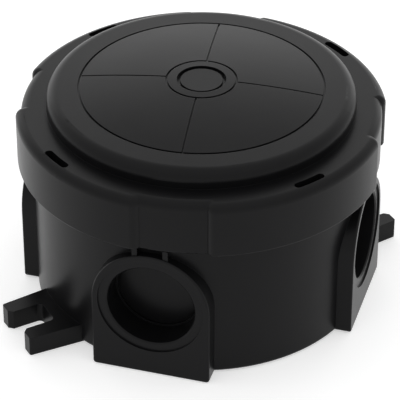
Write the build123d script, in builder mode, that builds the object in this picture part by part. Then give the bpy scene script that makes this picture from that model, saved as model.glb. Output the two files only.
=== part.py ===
from build123d import *
from math import cos, degrees, pi, radians, sin, sqrt
import os

# Round junction box for surface wiring, with four cable entries and a twist lid.
# Millimetres, +Z up. The origin is the centre of the base's underside.
# The front entry faces -Y. Angles round the box are measured from -Y towards +X.

# Base: wall, neck and floor
neck_radius = 37.9
neck_step = 0.6
neck_wall = 2.4
floor_thickness = 2.2
foot_rounding = 1.0
cavity_rounding = 1.5
rim_rounding = 0.5

# Base: cable entries and their arched bosses. Each angle has its face's distance past the wall
entry_radius = 10.1
entry_depth = 7.1
entry_chamfer = 0.3
entry_bosses = ((0, 1.9), (90, 1.1), (180, 1.9), (270, 1.1))
boss_wall = 3.5
boss_foot_height = 4.75
boss_foot_rounding = 0.8
boss_edge_rounding = 0.4
seat_width = 2.1
seat_depth = 0.4
membrane_thickness = 1.2
breakaway_ledge = 0.4
breakaway_width = 0.6
breakaway_depth = 0.6
cup_wall = 1.6
arch_gap = 2.05
arch_rib_spacing = 7.0
arch_rib_width = 1.2
arch_rib_gap = 0.5

# Base: fixing lugs. Each angle has its tip's distance past the wall
fixing_lugs = ((-45, 11.0), (135, 9.3))
lug_sideways = 2.6
lug_sideways_angle = 45
lug_width = 14.6
lug_flare = 1.0
lug_thickness = 4.8
lug_tip_chamfer = 0.3
slot_width = 7.0
slot_margin = 2.9
slot_corner = 1.2
slot_mouth_chamfer = 1.0

# Lid: skirt and ring
skirt_gap = 0.3
skirt_height = 13.0
skirt_wall = 2.4
ring_rounding = 2.0
plate_thickness = 2.2
lid_turn_at_rest = 7.67
recess_depth = 1.2
recess_half_angle = 11.4
recess_side_run = 0.7
recess_outer_corner = 2.1
skirt_edge_rounding = 0.4

# Lid: raised disc, its grooves and the bare medallion
disc_wall = 2.0
disc_foot_height = 1.6
disc_rounding = 2.6
land_width = 4.75
dome_edge_height = 4.35
dome_apex_height = 6.27
groove_depth = 0.4
panel_groove_width = 0.5
spoke_groove_width = 0.4
medallion_radius = 7.9
medallion_groove_width = 0.5
medallion_recess_outer = 5.6
medallion_recess_inner = 4.8
medallion_sink = 0.3
medallion_edge_depth = 0.9

# Twist lock: lugs in the lid, ramps on the base
grip_count = 4
window_width = 1.8
twist_lug_half_angle = 4.4
twist_lug_clearance = 0.6
twist_lug_foot = 2.2
twist_lug_thickness = 2.0
open_angle = 45.0
lid_rise = 1.2
ramp_reach = 1.5
ramp_clearance = 0.3
ramp_gap = 0.35
ramp_thickness = 1.8
ramp_start_angle = -12.0
ramp_end_angle = 37.0
ramp_stop_gap_angle = 0.6
ramp_stop_drop = 2.4

# Seal and the lip that keeps it in place
seal_thickness = 1.3
seal_clearance = 0.3
lip_depth = 2.6
lip_clearance = 1.1
lip_wall = 1.3

# Terminal strip
pole_count = 5
pole_pitch = 10.2
pole_width = 8.2
pole_height = 7.8
pole_floor = 1.2
pole_rounding = 0.5
tube_half_width = 2.6
tube_shoulder = 3.0
tube_bore = 1.7
tube_length = 17.0
tube_recess = 1.5
tube_clearance = 0.1
web_height = 5.0
web_length = 9.0
web_boss_wall = 1.4
chimney_height = 5.2
chimney_radius = 3.4
chimney_clearance = 0.3
clamp_inset = 3.0
post_height = 5.8
post_radius = 3.4
post_hole_depth = 5.5

# Screws
screw_radius = 1.5
screw_clearance = 0.2
thread_clearance = 0.05
clamp_head_radius = 2.1
clamp_head_height = 2.2
clamp_tip = 0.5
fixing_head_radius = 2.8
fixing_head_height = 1.8
fixing_engagement = 4.5
driver_slot_width = 0.7
driver_slot_depth = 0.9
tip_chamfer = 0.3

# Radii, from the inside out
inner_radius = neck_radius - neck_wall
lip_outer_radius = inner_radius - lip_clearance
lip_inner_radius = lip_outer_radius - lip_wall
disc_radius = lip_inner_radius + disc_wall
dome_radius = disc_radius - disc_rounding - land_width
wall_radius = neck_radius + neck_step
window_inner_radius = neck_radius + twist_lug_clearance
window_centre_radius = window_inner_radius + window_width / 2
ramp_radius = neck_radius + ramp_reach
skirt_inner_radius = ramp_radius + ramp_clearance
skirt_radius = skirt_inner_radius + skirt_wall
boss_radius = entry_radius + boss_wall
seat_radius = entry_radius + seat_width

# Heights, from the underside up
entry_height = boss_radius + boss_foot_height
neck_start = entry_height + boss_radius + arch_gap
skirt_bottom = neck_start + skirt_gap
twist_lug_bottom = skirt_bottom + twist_lug_foot
twist_lug_top = twist_lug_bottom + twist_lug_thickness
ring_top = skirt_bottom + skirt_height
plate_bottom = ring_top - plate_thickness
rim_height = plate_bottom - seal_thickness
rim_top = ring_top + disc_foot_height + disc_rounding
dome_edge = ring_top + dome_edge_height
dome_apex = ring_top + dome_apex_height

# Curves and repeats
dome_curve = (dome_radius ** 2 + (dome_apex - dome_edge) ** 2) / (2 * (dome_apex - dome_edge))
rise_per_radian = lid_rise / radians(open_angle)
grip_angles = [i * 360 / grip_count + lid_turn_at_rest for i in range(grip_count)]
window_angles = [angle + 180 / grip_count for angle in grip_angles]

# Terminal strip's places
strip_bottom = floor_thickness + post_height
tube_axis = strip_bottom + pole_floor + tube_half_width
tube_top = tube_axis + tube_shoulder
pole_top = strip_bottom + pole_height
pole_places = [(i - (pole_count - 1) / 2) * pole_pitch for i in range(pole_count)]
fixing_places = [pole_places[0] + pole_pitch / 2, pole_places[-1] - pole_pitch / 2]
pole_length = tube_length + 2 * tube_recess
clamp_places = [clamp_inset - tube_length / 2, tube_length / 2 - clamp_inset]


def outward(angle, distance=1):
    """Vector away from the axis at an angle round the box."""
    return Vector(sin(radians(angle)), -cos(radians(angle)), 0) * distance


def facing(angle, distance, height=0):
    """Plane square to the outward direction: X runs anticlockwise, Y runs up."""
    place = outward(angle, distance) + Vector(0, 0, height)
    return Plane(place, x_dir=outward(angle + 90), z_dir=outward(angle))


def through_axis(angle, height=0):
    """Plane through the axis: X runs outward at the angle, Y runs up."""
    return Plane((0, 0, height), x_dir=outward(angle), z_dir=outward(angle - 90))


def lying(angle, height=0, shift=Vector(0, 0, 0)):
    """Level plane whose X runs outward at the angle."""
    return Plane(shift + Vector(0, 0, height), x_dir=outward(angle), z_dir=(0, 0, 1))


def dome_height(radius):
    """Height of the lid's panel at a radius."""
    return dome_apex - dome_curve + sqrt(dome_curve ** 2 - radius ** 2)


def write(part, name):
    part.label = name
    export_step(part, f"parts/{name}.step")


os.makedirs("parts", exist_ok=True)

# One ramp that a lug of the lid climbs, from +X anticlockwise
with BuildPart() as ramp:
    ramp_start = twist_lug_top + ramp_gap + radians(ramp_start_angle) * rise_per_radian
    ramp_depth = ramp_radius - neck_radius + rim_rounding
    ramp_turn = radians(ramp_end_angle - ramp_start_angle)
    with BuildLine(Plane.XY.offset(ramp_start)):
        path = Helix(rise_per_radian * 2 * pi, rise_per_radian * ramp_turn, neck_radius)
    with BuildSketch(Plane.XZ):
        with Locations((ramp_radius, ramp_start)):
            Rectangle(ramp_depth, ramp_thickness, align=(Align.MAX, Align.MIN))
    sweep(path=path, is_frenet=True)

# Base: one moulding
with BuildPart() as base:
    # Wall and neck, still solid
    with BuildSketch(Plane.XZ):
        with BuildLine():
            Polyline(
                (0, 0), (wall_radius, 0), (wall_radius, neck_start), (neck_radius, neck_start),
                (neck_radius, rim_height), (0, rim_height), close=True)
        outline = make_face()
        fillet(outline.vertices().group_by(Axis.Y)[0].sort_by(Axis.X)[-1], foot_rounding)
        fillet(outline.vertices().group_by(Axis.Y)[-1].sort_by(Axis.X)[-1], rim_rounding)
    revolve(axis=Axis.Z)

    # Arched bosses with flat faces, and the ribs above each arch
    for angle, reach in entry_bosses:
        boss_face = wall_radius + reach
        with BuildSketch(facing(angle, boss_face)):
            with BuildLine():
                Polyline((-boss_radius, entry_height), (-boss_radius, 0), (boss_radius, 0),
                         (boss_radius, entry_height))
                CenterArc((0, entry_height), boss_radius, 0, 180)
            arch = make_face()
            fillet(arch.vertices().group_by(Axis.Y)[0], boss_foot_rounding)
        extrude(amount=-entry_depth)
        face = base.faces().sort_by_distance(outward(angle, 2 * boss_face))[0]
        fillet(face.edges(), boss_edge_rounding)
        rib_height = skirt_bottom - arch_rib_gap - entry_height
        with BuildSketch(facing(angle, boss_face - boss_edge_rounding, entry_height)):
            with GridLocations(arch_rib_spacing, 1, 2, 1):
                Rectangle(arch_rib_width, rib_height, align=(Align.CENTER, Align.MIN))
        extrude(amount=boss_edge_rounding - entry_depth)

    # Slotted lugs at the foot
    lug_shift = outward(lug_sideways_angle, lug_sideways)
    for angle, reach in fixing_lugs:
        lug_tip = wall_radius + reach
        slot_end = wall_radius + slot_margin
        with BuildSketch(lying(angle, shift=lug_shift)):
            with BuildLine():
                Polyline(
                    (inner_radius, -lug_width / 2 - lug_flare), (lug_tip, -lug_width / 2),
                    (lug_tip, lug_width / 2), (inner_radius, lug_width / 2 + lug_flare), close=True)
            plate = make_face()
            chamfer(plate.vertices().group_by(Axis.X)[-1], lug_tip_chamfer)
        extrude(amount=lug_thickness)
        with BuildSketch(lying(angle, shift=lug_shift)):
            with Locations(((slot_end + lug_tip) / 2, 0)):
                slot = Rectangle(lug_tip - slot_end, slot_width)
            fillet(slot.vertices().group_by(Axis.X)[0], slot_corner)
            with BuildLine():
                mouth = slot_width / 2 + slot_mouth_chamfer
                Polyline(
                    (lug_tip, -mouth), (lug_tip, mouth),
                    (lug_tip - slot_mouth_chamfer, slot_width / 2),
                    (lug_tip - slot_mouth_chamfer, -slot_width / 2), close=True)
            make_face()
        extrude(amount=lug_thickness, mode=Mode.SUBTRACT)

    # Hollow, with a rounded corner at the floor
    with BuildSketch(Plane.XZ):
        with Locations((0, floor_thickness)):
            hollow = Rectangle(inner_radius, rim_height, align=(Align.MIN, Align.MIN))
        fillet(hollow.vertices().group_by(Axis.Y)[0].sort_by(Axis.X)[-1], cavity_rounding)
    revolve(axis=Axis.Z, mode=Mode.SUBTRACT)

    # Blind entries: inner cup, washer seat, bore and the thin ring that breaks
    for angle, reach in entry_bosses:
        boss_face = wall_radius + reach
        bore_floor = boss_face - entry_depth
        cup_end = bore_floor - membrane_thickness
        with BuildSketch(facing(angle, cup_end, entry_height)):
            Circle(entry_radius + cup_wall)
        extrude(amount=inner_radius - cup_end)
        with BuildSketch(facing(angle, boss_face, entry_height)):
            Circle(seat_radius)
        extrude(amount=-seat_depth, mode=Mode.SUBTRACT)
        with BuildSketch(facing(angle, boss_face, entry_height)):
            Circle(entry_radius)
        extrude(amount=-entry_depth, mode=Mode.SUBTRACT)
        with BuildSketch(facing(angle, bore_floor, entry_height)):
            Circle(entry_radius - breakaway_ledge)
            Circle(entry_radius - breakaway_ledge - breakaway_width, mode=Mode.SUBTRACT)
        extrude(amount=-breakaway_depth, mode=Mode.SUBTRACT)
        mouth = outward(angle, boss_face - seat_depth) + Vector(0, 0, entry_height)
        mouth_edges = base.edges().filter_by(GeomType.CIRCLE).filter_by(
            lambda edge: abs(edge.radius - entry_radius) < seat_width / 2)
        chamfer(mouth_edges.sort_by(lambda edge: (edge.arc_center - mouth).length)[0], entry_chamfer)

    # Ramps round the neck, each with a stop where it starts
    with PolarLocations(0, grip_count, start_angle=window_angles[0] + ramp_start_angle - 90):
        add(ramp.part)
    stop_turn = -twist_lug_half_angle - ramp_stop_gap_angle - ramp_start_angle
    for angle in window_angles:
        with BuildSketch(through_axis(angle + ramp_start_angle, ramp_start)):
            with Locations((ramp_radius, ramp_thickness / 2)):
                Rectangle(ramp_depth, ramp_stop_drop + ramp_thickness / 2,
                          align=(Align.MAX, Align.MAX))
        revolve(axis=Axis.Z, revolution_arc=stop_turn)

    # Posts for the terminal strip
    with BuildSketch(Plane.XY.offset(floor_thickness)):
        with Locations([(x, 0) for x in fixing_places]):
            Circle(post_radius)
    extrude(amount=post_height)
    with BuildSketch(Plane.XY.offset(strip_bottom)):
        with Locations([(x, 0) for x in fixing_places]):
            Circle(screw_radius + thread_clearance)
    extrude(amount=-post_hole_depth, mode=Mode.SUBTRACT)
write(base.part, "base")

# Lid: one moulding
with BuildPart() as lid:
    # Ring and skirt with four grip recesses
    recess_radius = skirt_radius - recess_depth
    lobe_half_angle = 180 / grip_count - recess_half_angle
    side_angle = degrees(recess_side_run / skirt_radius)
    with BuildSketch(lying(lid_turn_at_rest, skirt_bottom)):
        with BuildLine():
            for i in range(grip_count):
                middle = i * 360 / grip_count
                half = recess_half_angle - side_angle
                recess = CenterArc((0, 0), recess_radius, middle - half, 2 * half)
                lobe = CenterArc((0, 0), skirt_radius, middle + recess_half_angle,
                                 2 * lobe_half_angle)
                Line(recess @ 1, lobe @ 0)
                Line(lobe @ 1, (recess @ 0).rotate(Axis.Z, 360 / grip_count))
        corners = make_face().vertices().sort_by_distance((0, 0))
        fillet(corners[2 * grip_count:], recess_outer_corner)
    extrude(amount=ring_top - skirt_bottom)
    fillet(lid.faces().sort_by(Axis.Z)[-1].edges(), ring_rounding)
    fillet(lid.faces().sort_by(Axis.Z)[0].edges(), skirt_edge_rounding)

    # Raised disc with a domed panel
    with BuildSketch(Plane.XZ):
        with BuildLine():
            foot = Line((disc_radius, plate_bottom), (disc_radius, rim_top - disc_rounding))
            rim = TangentArc(foot @ 1, (disc_radius - disc_rounding, rim_top), tangent=(0, 1))
            land = Line(rim @ 1, (dome_radius, dome_edge))
            dome = TangentArc((0, dome_apex), land @ 1, tangent=(1, 0))
            Polyline(dome @ 0, (0, plate_bottom), foot @ 0)
        make_face()
    revolve(axis=Axis.Z)

    # Hollow inside skirt and disc, leaving the lip that keeps the seal in place
    with BuildSketch(Plane.XZ):
        with BuildLine():
            cap = TangentArc((0, dome_apex - disc_wall), (dome_radius, dome_edge - disc_wall),
                             tangent=(1, 0))
            Polyline(
                cap @ 1, (lip_inner_radius, dome_edge - disc_wall),
                (lip_inner_radius, plate_bottom - lip_depth),
                (lip_outer_radius, plate_bottom - lip_depth), (lip_outer_radius, plate_bottom),
                (skirt_inner_radius, plate_bottom), (skirt_inner_radius, skirt_bottom),
                (0, skirt_bottom), cap @ 0)
        make_face()
    revolve(axis=Axis.Z, mode=Mode.SUBTRACT)

    # Round grooves, and the bare medallion's sunk disc with its deeper edge
    for radius, width in ((dome_radius, panel_groove_width),
                          (medallion_radius, medallion_groove_width)):
        with BuildSketch(Plane.XZ):
            with Locations((radius, dome_height(radius))):
                Rectangle(width, 2 * groove_depth)
        revolve(axis=Axis.Z, mode=Mode.SUBTRACT)
    with BuildSketch(Plane.XY.offset(dome_apex - medallion_sink)):
        Circle(medallion_recess_outer)
    extrude(amount=medallion_sink, mode=Mode.SUBTRACT)
    with BuildSketch(Plane.XY.offset(dome_apex - medallion_edge_depth)):
        Circle(medallion_recess_outer)
        Circle(medallion_recess_inner, mode=Mode.SUBTRACT)
    extrude(amount=medallion_edge_depth, mode=Mode.SUBTRACT)

    # Straight grooves from the medallion to the panel's edge
    for angle in grip_angles:
        with BuildSketch(through_axis(angle)):
            with BuildLine():
                inner_end = (medallion_radius, dome_height(medallion_radius) - groove_depth)
                outer_end = (dome_radius, dome_height(dome_radius) - groove_depth)
                RadiusArc(inner_end, outer_end, dome_curve)
                Polyline(outer_end, (dome_radius, dome_apex), (medallion_radius, dome_apex),
                         inner_end)
            make_face()
        extrude(amount=spoke_groove_width / 2, both=True, mode=Mode.SUBTRACT)

    # Lugs of the twist lock, each below a slot that runs down to it
    for angle in window_angles:
        with BuildSketch(lying(angle, twist_lug_bottom)):
            with BuildLine():
                inner = CenterArc((0, 0), window_inner_radius, -twist_lug_half_angle,
                                  2 * twist_lug_half_angle)
                outer = CenterArc((0, 0), skirt_inner_radius + skirt_wall / 3,
                                  -twist_lug_half_angle, 2 * twist_lug_half_angle)
                Line(inner @ 0, outer @ 0)
                Line(inner @ 1, outer @ 1)
            make_face()
        extrude(amount=twist_lug_top - twist_lug_bottom)
        with BuildSketch(lying(angle, twist_lug_top)):
            with BuildLine():
                line = CenterArc((0, 0), window_centre_radius, -twist_lug_half_angle,
                                 2 * twist_lug_half_angle)
            SlotArc(line, window_width)
        extrude(amount=ring_top - twist_lug_top, mode=Mode.SUBTRACT)
write(lid.part, "lid")

# Seal: a flat ring pressed between the lid's plate and the base's rim
with BuildPart() as lid_seal:
    with BuildSketch(Plane.XY.offset(rim_height)):
        Circle(window_inner_radius - seal_clearance)
        Circle(lip_outer_radius + seal_clearance, mode=Mode.SUBTRACT)
    extrude(amount=seal_thickness)
write(lid_seal.part, "lid_seal")


def connector_outline(clearance=0):
    """Round below and square above, seen along the conductor."""
    half_width = tube_half_width + clearance
    with BuildSketch(Plane.XZ) as outline:
        Circle(half_width)
        Rectangle(2 * half_width, tube_shoulder + clearance, align=(Align.CENTER, Align.MIN))
    return outline.sketch


# Body of the terminal strip
with BuildPart() as terminal_housing:
    with BuildSketch(Plane.XY.offset(strip_bottom)):
        with Locations([(x, 0) for x in pole_places]):
            RectangleRounded(pole_width, pole_length, pole_rounding)
    extrude(amount=pole_height)
    with BuildSketch(Plane.XY.offset(strip_bottom)):
        Rectangle(pole_places[-1] - pole_places[0], web_length)
    extrude(amount=web_height)
    hole_radius = screw_radius + screw_clearance
    with BuildSketch(Plane.XY.offset(strip_bottom)):
        with Locations([(x, 0) for x in fixing_places]):
            Circle(hole_radius + web_boss_wall)
    extrude(amount=pole_height)
    with BuildSketch(Plane.XY.offset(pole_top)):
        with Locations([(x, y) for x in pole_places for y in clamp_places]):
            Circle(chimney_radius)
    extrude(amount=chimney_height)
    with BuildSketch(Plane.XY.offset(tube_axis)):
        with Locations([(x, y) for x in pole_places for y in clamp_places]):
            Circle(clamp_head_radius + chimney_clearance)
    extrude(amount=pole_top + chimney_height - tube_axis, mode=Mode.SUBTRACT)
    with BuildSketch(Plane.XY.offset(strip_bottom)):
        with Locations([(x, 0) for x in fixing_places]):
            Circle(hole_radius)
    extrude(amount=pole_height, mode=Mode.SUBTRACT)
    for x in pole_places:
        with BuildSketch(Plane((x, pole_length / 2, tube_axis), x_dir=(1, 0, 0), z_dir=(0, -1, 0))):
            add(connector_outline(tube_clearance))
        extrude(amount=pole_length, mode=Mode.SUBTRACT)
write(terminal_housing.part, "terminal_housing")

# Brass connectors, each with a conductor hole and two threaded holes
for number, x in enumerate(pole_places, start=1):
    with BuildPart() as terminal_tube:
        with BuildSketch(Plane((x, tube_length / 2, tube_axis), x_dir=(1, 0, 0), z_dir=(0, -1, 0))):
            add(connector_outline())
            Circle(tube_bore, mode=Mode.SUBTRACT)
        extrude(amount=tube_length)
        with BuildSketch(Plane((x, 0, tube_top))):
            with Locations([(0, y) for y in clamp_places]):
                Circle(screw_radius + thread_clearance)
        extrude(amount=-tube_shoulder, mode=Mode.SUBTRACT)
    write(terminal_tube.part, f"terminal_tube_{number}")


def slotted_screw(place, head_radius, head_height, shank_length):
    """Cheese-head screw whose head stands on the place and whose shank points down."""
    with BuildPart() as screw:
        with BuildSketch(Plane(place)):
            Circle(head_radius)
        extrude(amount=head_height)
        with BuildSketch(Plane(place)):
            Circle(screw_radius)
        extrude(amount=-shank_length)
        top = place + Vector(0, 0, head_height)
        with BuildSketch(Plane(top)):
            Rectangle(2 * head_radius, driver_slot_width)
        extrude(amount=-driver_slot_depth, mode=Mode.SUBTRACT)
        chamfer(screw.faces().sort_by(Axis.Z)[0].edges(), tip_chamfer)
    return screw.part


# Clamping screws, two to a connector
clamp_shank = tube_shoulder - tube_bore + clamp_tip
for number, (x, y) in enumerate([(x, y) for x in pole_places for y in clamp_places], start=1):
    screw = slotted_screw(Vector(x, y, tube_top), clamp_head_radius, clamp_head_height, clamp_shank)
    write(screw, f"clamp_screw_{number}")

# Screws that hold the strip to the posts
for number, x in enumerate(fixing_places, start=1):
    screw = slotted_screw(Vector(x, 0, pole_top), fixing_head_radius, fixing_head_height,
                          pole_height + fixing_engagement)
    write(screw, f"fixing_screw_{number}")
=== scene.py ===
import bpy
import math
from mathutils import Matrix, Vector

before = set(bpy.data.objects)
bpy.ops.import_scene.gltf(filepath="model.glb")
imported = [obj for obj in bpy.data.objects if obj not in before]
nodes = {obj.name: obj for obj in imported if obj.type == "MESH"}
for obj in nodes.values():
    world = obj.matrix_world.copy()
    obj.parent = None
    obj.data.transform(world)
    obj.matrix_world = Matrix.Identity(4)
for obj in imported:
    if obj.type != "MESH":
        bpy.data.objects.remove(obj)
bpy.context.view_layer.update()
scene = bpy.context.scene
print("frame loaded:", len(nodes), "nodes")

# Camera, at the photograph's own viewing angle (metres, degrees, and millimetres of lens and sensor)
cameraSettings = {
    "lookAt": (-0.00033, -0.0001, 0.02041),
    "distance": 0.5777,
    "elevation": 34.54,
    "azimuth": 16.39,
    "lens": 223.7,
    "sensor": 36.0,
    "clipStart": 0.01,
    "clipEnd": 20.0,
}


def directionFrom(azimuth, elevation):    # from the object towards something that stands there
    a = math.radians(azimuth)
    e = math.radians(elevation)
    return Vector((math.sin(a) * math.cos(e), -math.cos(a) * math.cos(e), math.sin(e)))


def aimAt(item, target):
    item.rotation_euler = (Vector(target) - item.location).to_track_quat("-Z", "Y").to_euler()


def addCamera(s):
    data = bpy.data.cameras.new("photoCamera")
    data.sensor_width = s["sensor"]
    data.lens = s["lens"]
    data.clip_start = s["clipStart"]
    data.clip_end = s["clipEnd"]
    camera = bpy.data.objects.new("photoCamera", data)
    scene.collection.objects.link(camera)
    camera.location = Vector(s["lookAt"]) + directionFrom(s["azimuth"], s["elevation"]) * s["distance"]
    aimAt(camera, s["lookAt"])
    scene.camera = camera


addCamera(cameraSettings)
print("camera placed")

noiseMiddle = 0.5    # what a noise averages, taken off so that a spread keeps the mean


class Wire:    # a shader socket that can be added, subtracted and multiplied like a number
    def __init__(self, tree, socket=None):
        self.tree = tree
        self.socket = socket

    def node(self, kind, settings={}, inputs={}, outlet=0):
        made = self.tree.nodes.new(kind)
        for name, value in settings.items():
            setattr(made, name, value)
        for name, value in inputs.items():
            if isinstance(value, Wire):
                self.tree.links.new(value.socket, made.inputs[name])
            else:
                made.inputs[name].default_value = value
        return Wire(self.tree, made.outputs[outlet] if made.outputs else None)

    def maths(self, operation, first, second):
        return self.node("ShaderNodeMath", {"operation": operation}, {0: first, 1: second})

    def __add__(self, other):
        return self.maths("ADD", self, other)

    def __radd__(self, other):
        return self.maths("ADD", other, self)

    def __sub__(self, other):
        return self.maths("SUBTRACT", self, other)

    def __rsub__(self, other):
        return self.maths("SUBTRACT", other, self)

    def __mul__(self, other):
        return self.maths("MULTIPLY", self, other)

    def __rmul__(self, other):
        return self.maths("MULTIPLY", other, self)

    def power(self, other):
        return self.maths("POWER", self, other)


def newMaterial(name):    # a bare material, the start of its nodes, and its object coordinates
    material = bpy.data.materials.new(name)
    material.use_nodes = True
    tree = material.node_tree
    tree.nodes.clear()
    start = Wire(tree)
    place = start.node("ShaderNodeTexCoord", outlet="Object")
    return material, start, place


def finishMaterial(start, inputs):
    shader = start.node("ShaderNodeBsdfPrincipled", {}, inputs)
    start.node("ShaderNodeOutputMaterial", {}, {"Surface": shader})


def noise(start, place, scale, detail, rough):
    return start.node("ShaderNodeTexNoise", {"noise_dimensions": "3D"},
                      {"Vector": place, "Scale": scale, "Detail": detail, "Roughness": rough})


def spread(value, amount):    # a noise turned into a change either side of nothing
    return (value - noiseMiddle) * amount


def blendColours(start, amount, low, high):    # 6, 7 and 2 are the Mix node's colour sockets
    return start.node("ShaderNodeMix", {"data_type": "RGBA"},
                      {"Factor": amount, 6: (*low, 1), 7: (*high, 1)}, 2)


# Black moulded plastic: fine spark-eroded grain, faint mottling, softly rounded edges
# Here and below, a noise is given by its scale, detail and roughness
blackPlastic = {
    "deepColour": (0.0032, 0.0032, 0.0035),
    "paleColour": (0.0056, 0.0055, 0.0060),
    "mottle": (55.0, 4.0, 0.6),
    "grain": (5200.0, 2.0, 0.6),
    "grainDepth": 0.000006,
    "wave": (140.0, 1.0, 0.4),
    "waveDepth": 0.00002,
    "roughness": 0.31,
    "roughnessSpread": 0.09,
    "grainSpread": 0.04,
    "reflectivity": 0.13,
    "edgeRadius": 0.0001,
    "edgeSamples": 6,
}


def makeBlackPlastic(name, s):
    material, start, place = newMaterial(name)
    mottle = noise(start, place, *s["mottle"])
    grain = noise(start, place, *s["grain"])
    wave = noise(start, place, *s["wave"])
    colour = blendColours(start, mottle, s["deepColour"], s["paleColour"])
    roughness = spread(mottle, s["roughnessSpread"]) + spread(grain, s["grainSpread"]) + s["roughness"]
    rounded = start.node("ShaderNodeBevel", {"samples": s["edgeSamples"]}, {"Radius": s["edgeRadius"]})
    waved = start.node("ShaderNodeBump", {},
                       {"Distance": s["waveDepth"], "Height": wave, "Normal": rounded})
    grained = start.node("ShaderNodeBump", {},
                         {"Distance": s["grainDepth"], "Height": grain, "Normal": waved})
    finishMaterial(start, {"Base Color": colour, "Roughness": roughness, "Normal": grained,
                           "Specular IOR Level": s["reflectivity"]})
    return material


# Seal: dull dark rubber with a powdery bloom
sealRubber = {
    "deepColour": (0.012, 0.012, 0.012),
    "bloomColour": (0.05, 0.05, 0.052),
    "bloom": (240.0, 5.0, 0.65),
    "bloomContrast": 2.2,
    "grain": (2600.0, 2.0, 0.5),
    "grainDepth": 0.00002,
    "roughness": 0.72,
    "roughnessSpread": 0.2,
    "reflectivity": 0.3,
}


def makeSealRubber(name, s):
    material, start, place = newMaterial(name)
    bloom = noise(start, place, *s["bloom"])
    grain = noise(start, place, *s["grain"])
    colour = blendColours(start, bloom.power(s["bloomContrast"]), s["deepColour"], s["bloomColour"])
    bumped = start.node("ShaderNodeBump", {}, {"Distance": s["grainDepth"], "Height": grain})
    finishMaterial(start, {"Base Color": colour, "Normal": bumped,
                           "Roughness": s["roughness"] + spread(bloom, s["roughnessSpread"]),
                           "Specular IOR Level": s["reflectivity"]})
    return material


# Terminal body: milky nylon, clouded with a warmer tone
milkyNylon = {
    "paleColour": (0.80, 0.79, 0.74),
    "warmColour": (0.70, 0.67, 0.57),
    "cloud": (130.0, 3.0, 0.5),
    "grain": (3800.0, 2.0, 0.5),
    "grainDepth": 0.00001,
    "roughness": 0.42,
    "roughnessSpread": 0.15,
    "milkiness": 0.15,
    "milkDepth": 0.001,
}


def makeMilkyNylon(name, s):
    material, start, place = newMaterial(name)
    cloud = noise(start, place, *s["cloud"])
    grain = noise(start, place, *s["grain"])
    colour = blendColours(start, cloud, s["paleColour"], s["warmColour"])
    bumped = start.node("ShaderNodeBump", {}, {"Distance": s["grainDepth"], "Height": grain})
    finishMaterial(start, {"Base Color": colour, "Normal": bumped,
                           "Roughness": s["roughness"] + spread(cloud, s["roughnessSpread"]),
                           "Subsurface Weight": s["milkiness"], "Subsurface Scale": s["milkDepth"]})
    return material


# Brass connectors: drawn along the conductor, so the marks run along Y
drawnBrass = {
    "brightColour": (0.83, 0.62, 0.30),
    "dullColour": (0.55, 0.40, 0.19),
    "markStretch": (9000.0, 120.0, 9000.0),
    "mark": (1.0, 3.0, 0.6),
    "markDepth": 0.000006,
    "markSpread": 0.2,
    "stain": (260.0, 4.0, 0.6),
    "stainContrast": 1.6,
    "stainSpread": 0.2,
    "roughness": 0.28,
}


def makeDrawnBrass(name, s):
    material, start, place = newMaterial(name)
    stretched = start.node("ShaderNodeVectorMath", {"operation": "MULTIPLY"},
                           {0: place, 1: s["markStretch"]})
    marks = noise(start, stretched, *s["mark"])
    stain = noise(start, place, *s["stain"])
    colour = blendColours(start, stain.power(s["stainContrast"]), s["brightColour"], s["dullColour"])
    roughness = s["roughness"] + spread(marks, s["markSpread"]) + spread(stain, s["stainSpread"])
    bumped = start.node("ShaderNodeBump", {}, {"Distance": s["markDepth"], "Height": marks})
    finishMaterial(start, {"Base Color": colour, "Roughness": roughness, "Normal": bumped,
                           "Metallic": 1.0})
    return material


# Screws: bright zinc plating with a faint blue and yellow bloom
zincPlate = {
    "coolColour": (0.60, 0.62, 0.66),
    "warmColour": (0.68, 0.66, 0.58),
    "bloom": (420.0, 3.0, 0.5),
    "grain": (5200.0, 3.0, 0.5),
    "grainDepth": 0.000008,
    "roughness": 0.30,
    "roughnessSpread": 0.16,
}


def makeZincPlate(name, s):
    material, start, place = newMaterial(name)
    bloom = noise(start, place, *s["bloom"])
    grain = noise(start, place, *s["grain"])
    colour = blendColours(start, bloom, s["coolColour"], s["warmColour"])
    roughness = s["roughness"] + spread(bloom, s["roughnessSpread"])
    bumped = start.node("ShaderNodeBump", {}, {"Distance": s["grainDepth"], "Height": grain})
    finishMaterial(start, {"Base Color": colour, "Roughness": roughness, "Normal": bumped,
                           "Metallic": 1.0})
    return material


finishes = {
    "base": makeBlackPlastic("boxPlasticFinish", blackPlastic),
    "lid": makeBlackPlastic("lidPlasticFinish", blackPlastic),
    "lid_seal": makeSealRubber("sealRubberFinish", sealRubber),
    "terminal_housing": makeMilkyNylon("milkyNylonFinish", milkyNylon),
    "terminal_tube": makeDrawnBrass("drawnBrassFinish", drawnBrass),
    "clamp_screw": makeZincPlate("clampScrewFinish", zincPlate),
    "fixing_screw": makeZincPlate("fixingScrewFinish", zincPlate),
}

for nodeName, item in nodes.items():    # numbered nodes take the finish of their family
    finish = finishes.get(nodeName) or finishes[nodeName.rsplit("_", 1)[0]]
    item.data.materials.clear()
    item.data.materials.append(finish)
print("finishes given to", len(nodes), "nodes")

# Stage: a pale floor and a backdrop, white both to the camera and in what the part mirrors
stageSettings = {
    "white": (1, 1, 1, 1),
    "floorSize": 6.0,
    "floorDrop": 0.0002,    # keeps the floor clear of the box's underside
    "floorColour": (0.80, 0.80, 0.80, 1),
    "floorGlow": 0.45,    # whitens the open floor where it is seen or mirrored, and leaves the shadow
    "softLevel": 0.85,
    "backdropLevel": 1.0,
}


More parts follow.
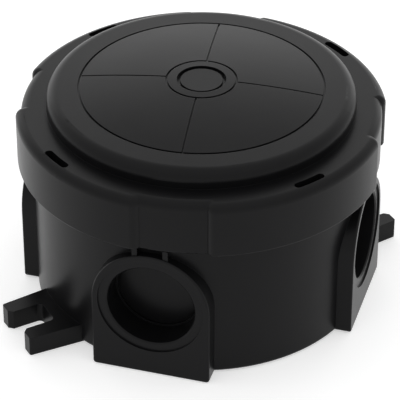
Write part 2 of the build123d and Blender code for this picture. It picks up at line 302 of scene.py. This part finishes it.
def whiteRays(start):    # mask of the rays that come from the camera, mirror or pass through
    seen = start.node("ShaderNodeLightPath", outlet="Is Camera Ray")
    glossy = start.node("ShaderNodeLightPath", outlet="Is Glossy Ray")
    passed = start.node("ShaderNodeLightPath", outlet="Is Transmission Ray")
    return seen + glossy + passed


def mixShaders(start, amount, low, high):
    return start.node("ShaderNodeMixShader", {}, {0: amount, 1: low, 2: high})


def addFloor(s):
    bpy.ops.object.select_all(action="DESELECT")
    bpy.ops.mesh.primitive_plane_add(size=s["floorSize"], location=(0, 0, -s["floorDrop"]))
    floor = bpy.context.object
    floor.name = "floor"
    material, start = newMaterial("floorFinish")[:2]
    lit = start.node("ShaderNodeBsdfDiffuse", {}, {"Color": s["floorColour"]})
    glow = start.node("ShaderNodeEmission", {}, {"Color": s["white"], "Strength": s["floorGlow"]})
    bright = start.node("ShaderNodeAddShader", {}, {0: lit, 1: glow})
    shown = mixShaders(start, whiteRays(start), lit, bright)
    start.node("ShaderNodeOutputMaterial", {}, {"Surface": shown})
    floor.data.materials.append(material)


def addWorld(s):
    world = bpy.data.worlds.new("studio")
    scene.world = world
    world.use_nodes = True
    tree = world.node_tree
    tree.nodes.clear()
    start = Wire(tree)
    soft, backdrop = (start.node("ShaderNodeBackground", {}, {"Color": s["white"], "Strength": level})
                      for level in (s["softLevel"], s["backdropLevel"]))
    shown = mixShaders(start, whiteRays(start), soft, backdrop)
    start.node("ShaderNodeOutputWorld", {}, {"Surface": shown})


# Lamps: soft panels, each placed by its direction from the object (metres, degrees and watts)
lampSettings = {
    "topPanel": {"azimuth": 16, "elevation": 84, "distance": 0.80, "width": 1.4, "height": 1.0,
                 "power": 0.4, "target": (0, 0, 0.03)},
    "backPanel": {"azimuth": 196, "elevation": 16, "distance": 0.90, "width": 1.6, "height": 0.65,
                  "power": 2.4, "target": (0, 0, 0.03)},
}


def addLamp(name, s):
    data = bpy.data.lights.new(name, "AREA")
    data.shape = "RECTANGLE"
    data.size = s["width"]
    data.size_y = s["height"]
    data.energy = s["power"]
    lamp = bpy.data.objects.new(name, data)
    scene.collection.objects.link(lamp)
    lamp.location = directionFrom(s["azimuth"], s["elevation"]) * s["distance"]
    aimAt(lamp, s["target"])
    lamp.visible_camera = False


addFloor(stageSettings)
addWorld(stageSettings)
for lampName, lamp in lampSettings.items():
    addLamp(lampName, lamp)
scene.view_settings.view_transform = "Standard"
print("stage and lamps placed")
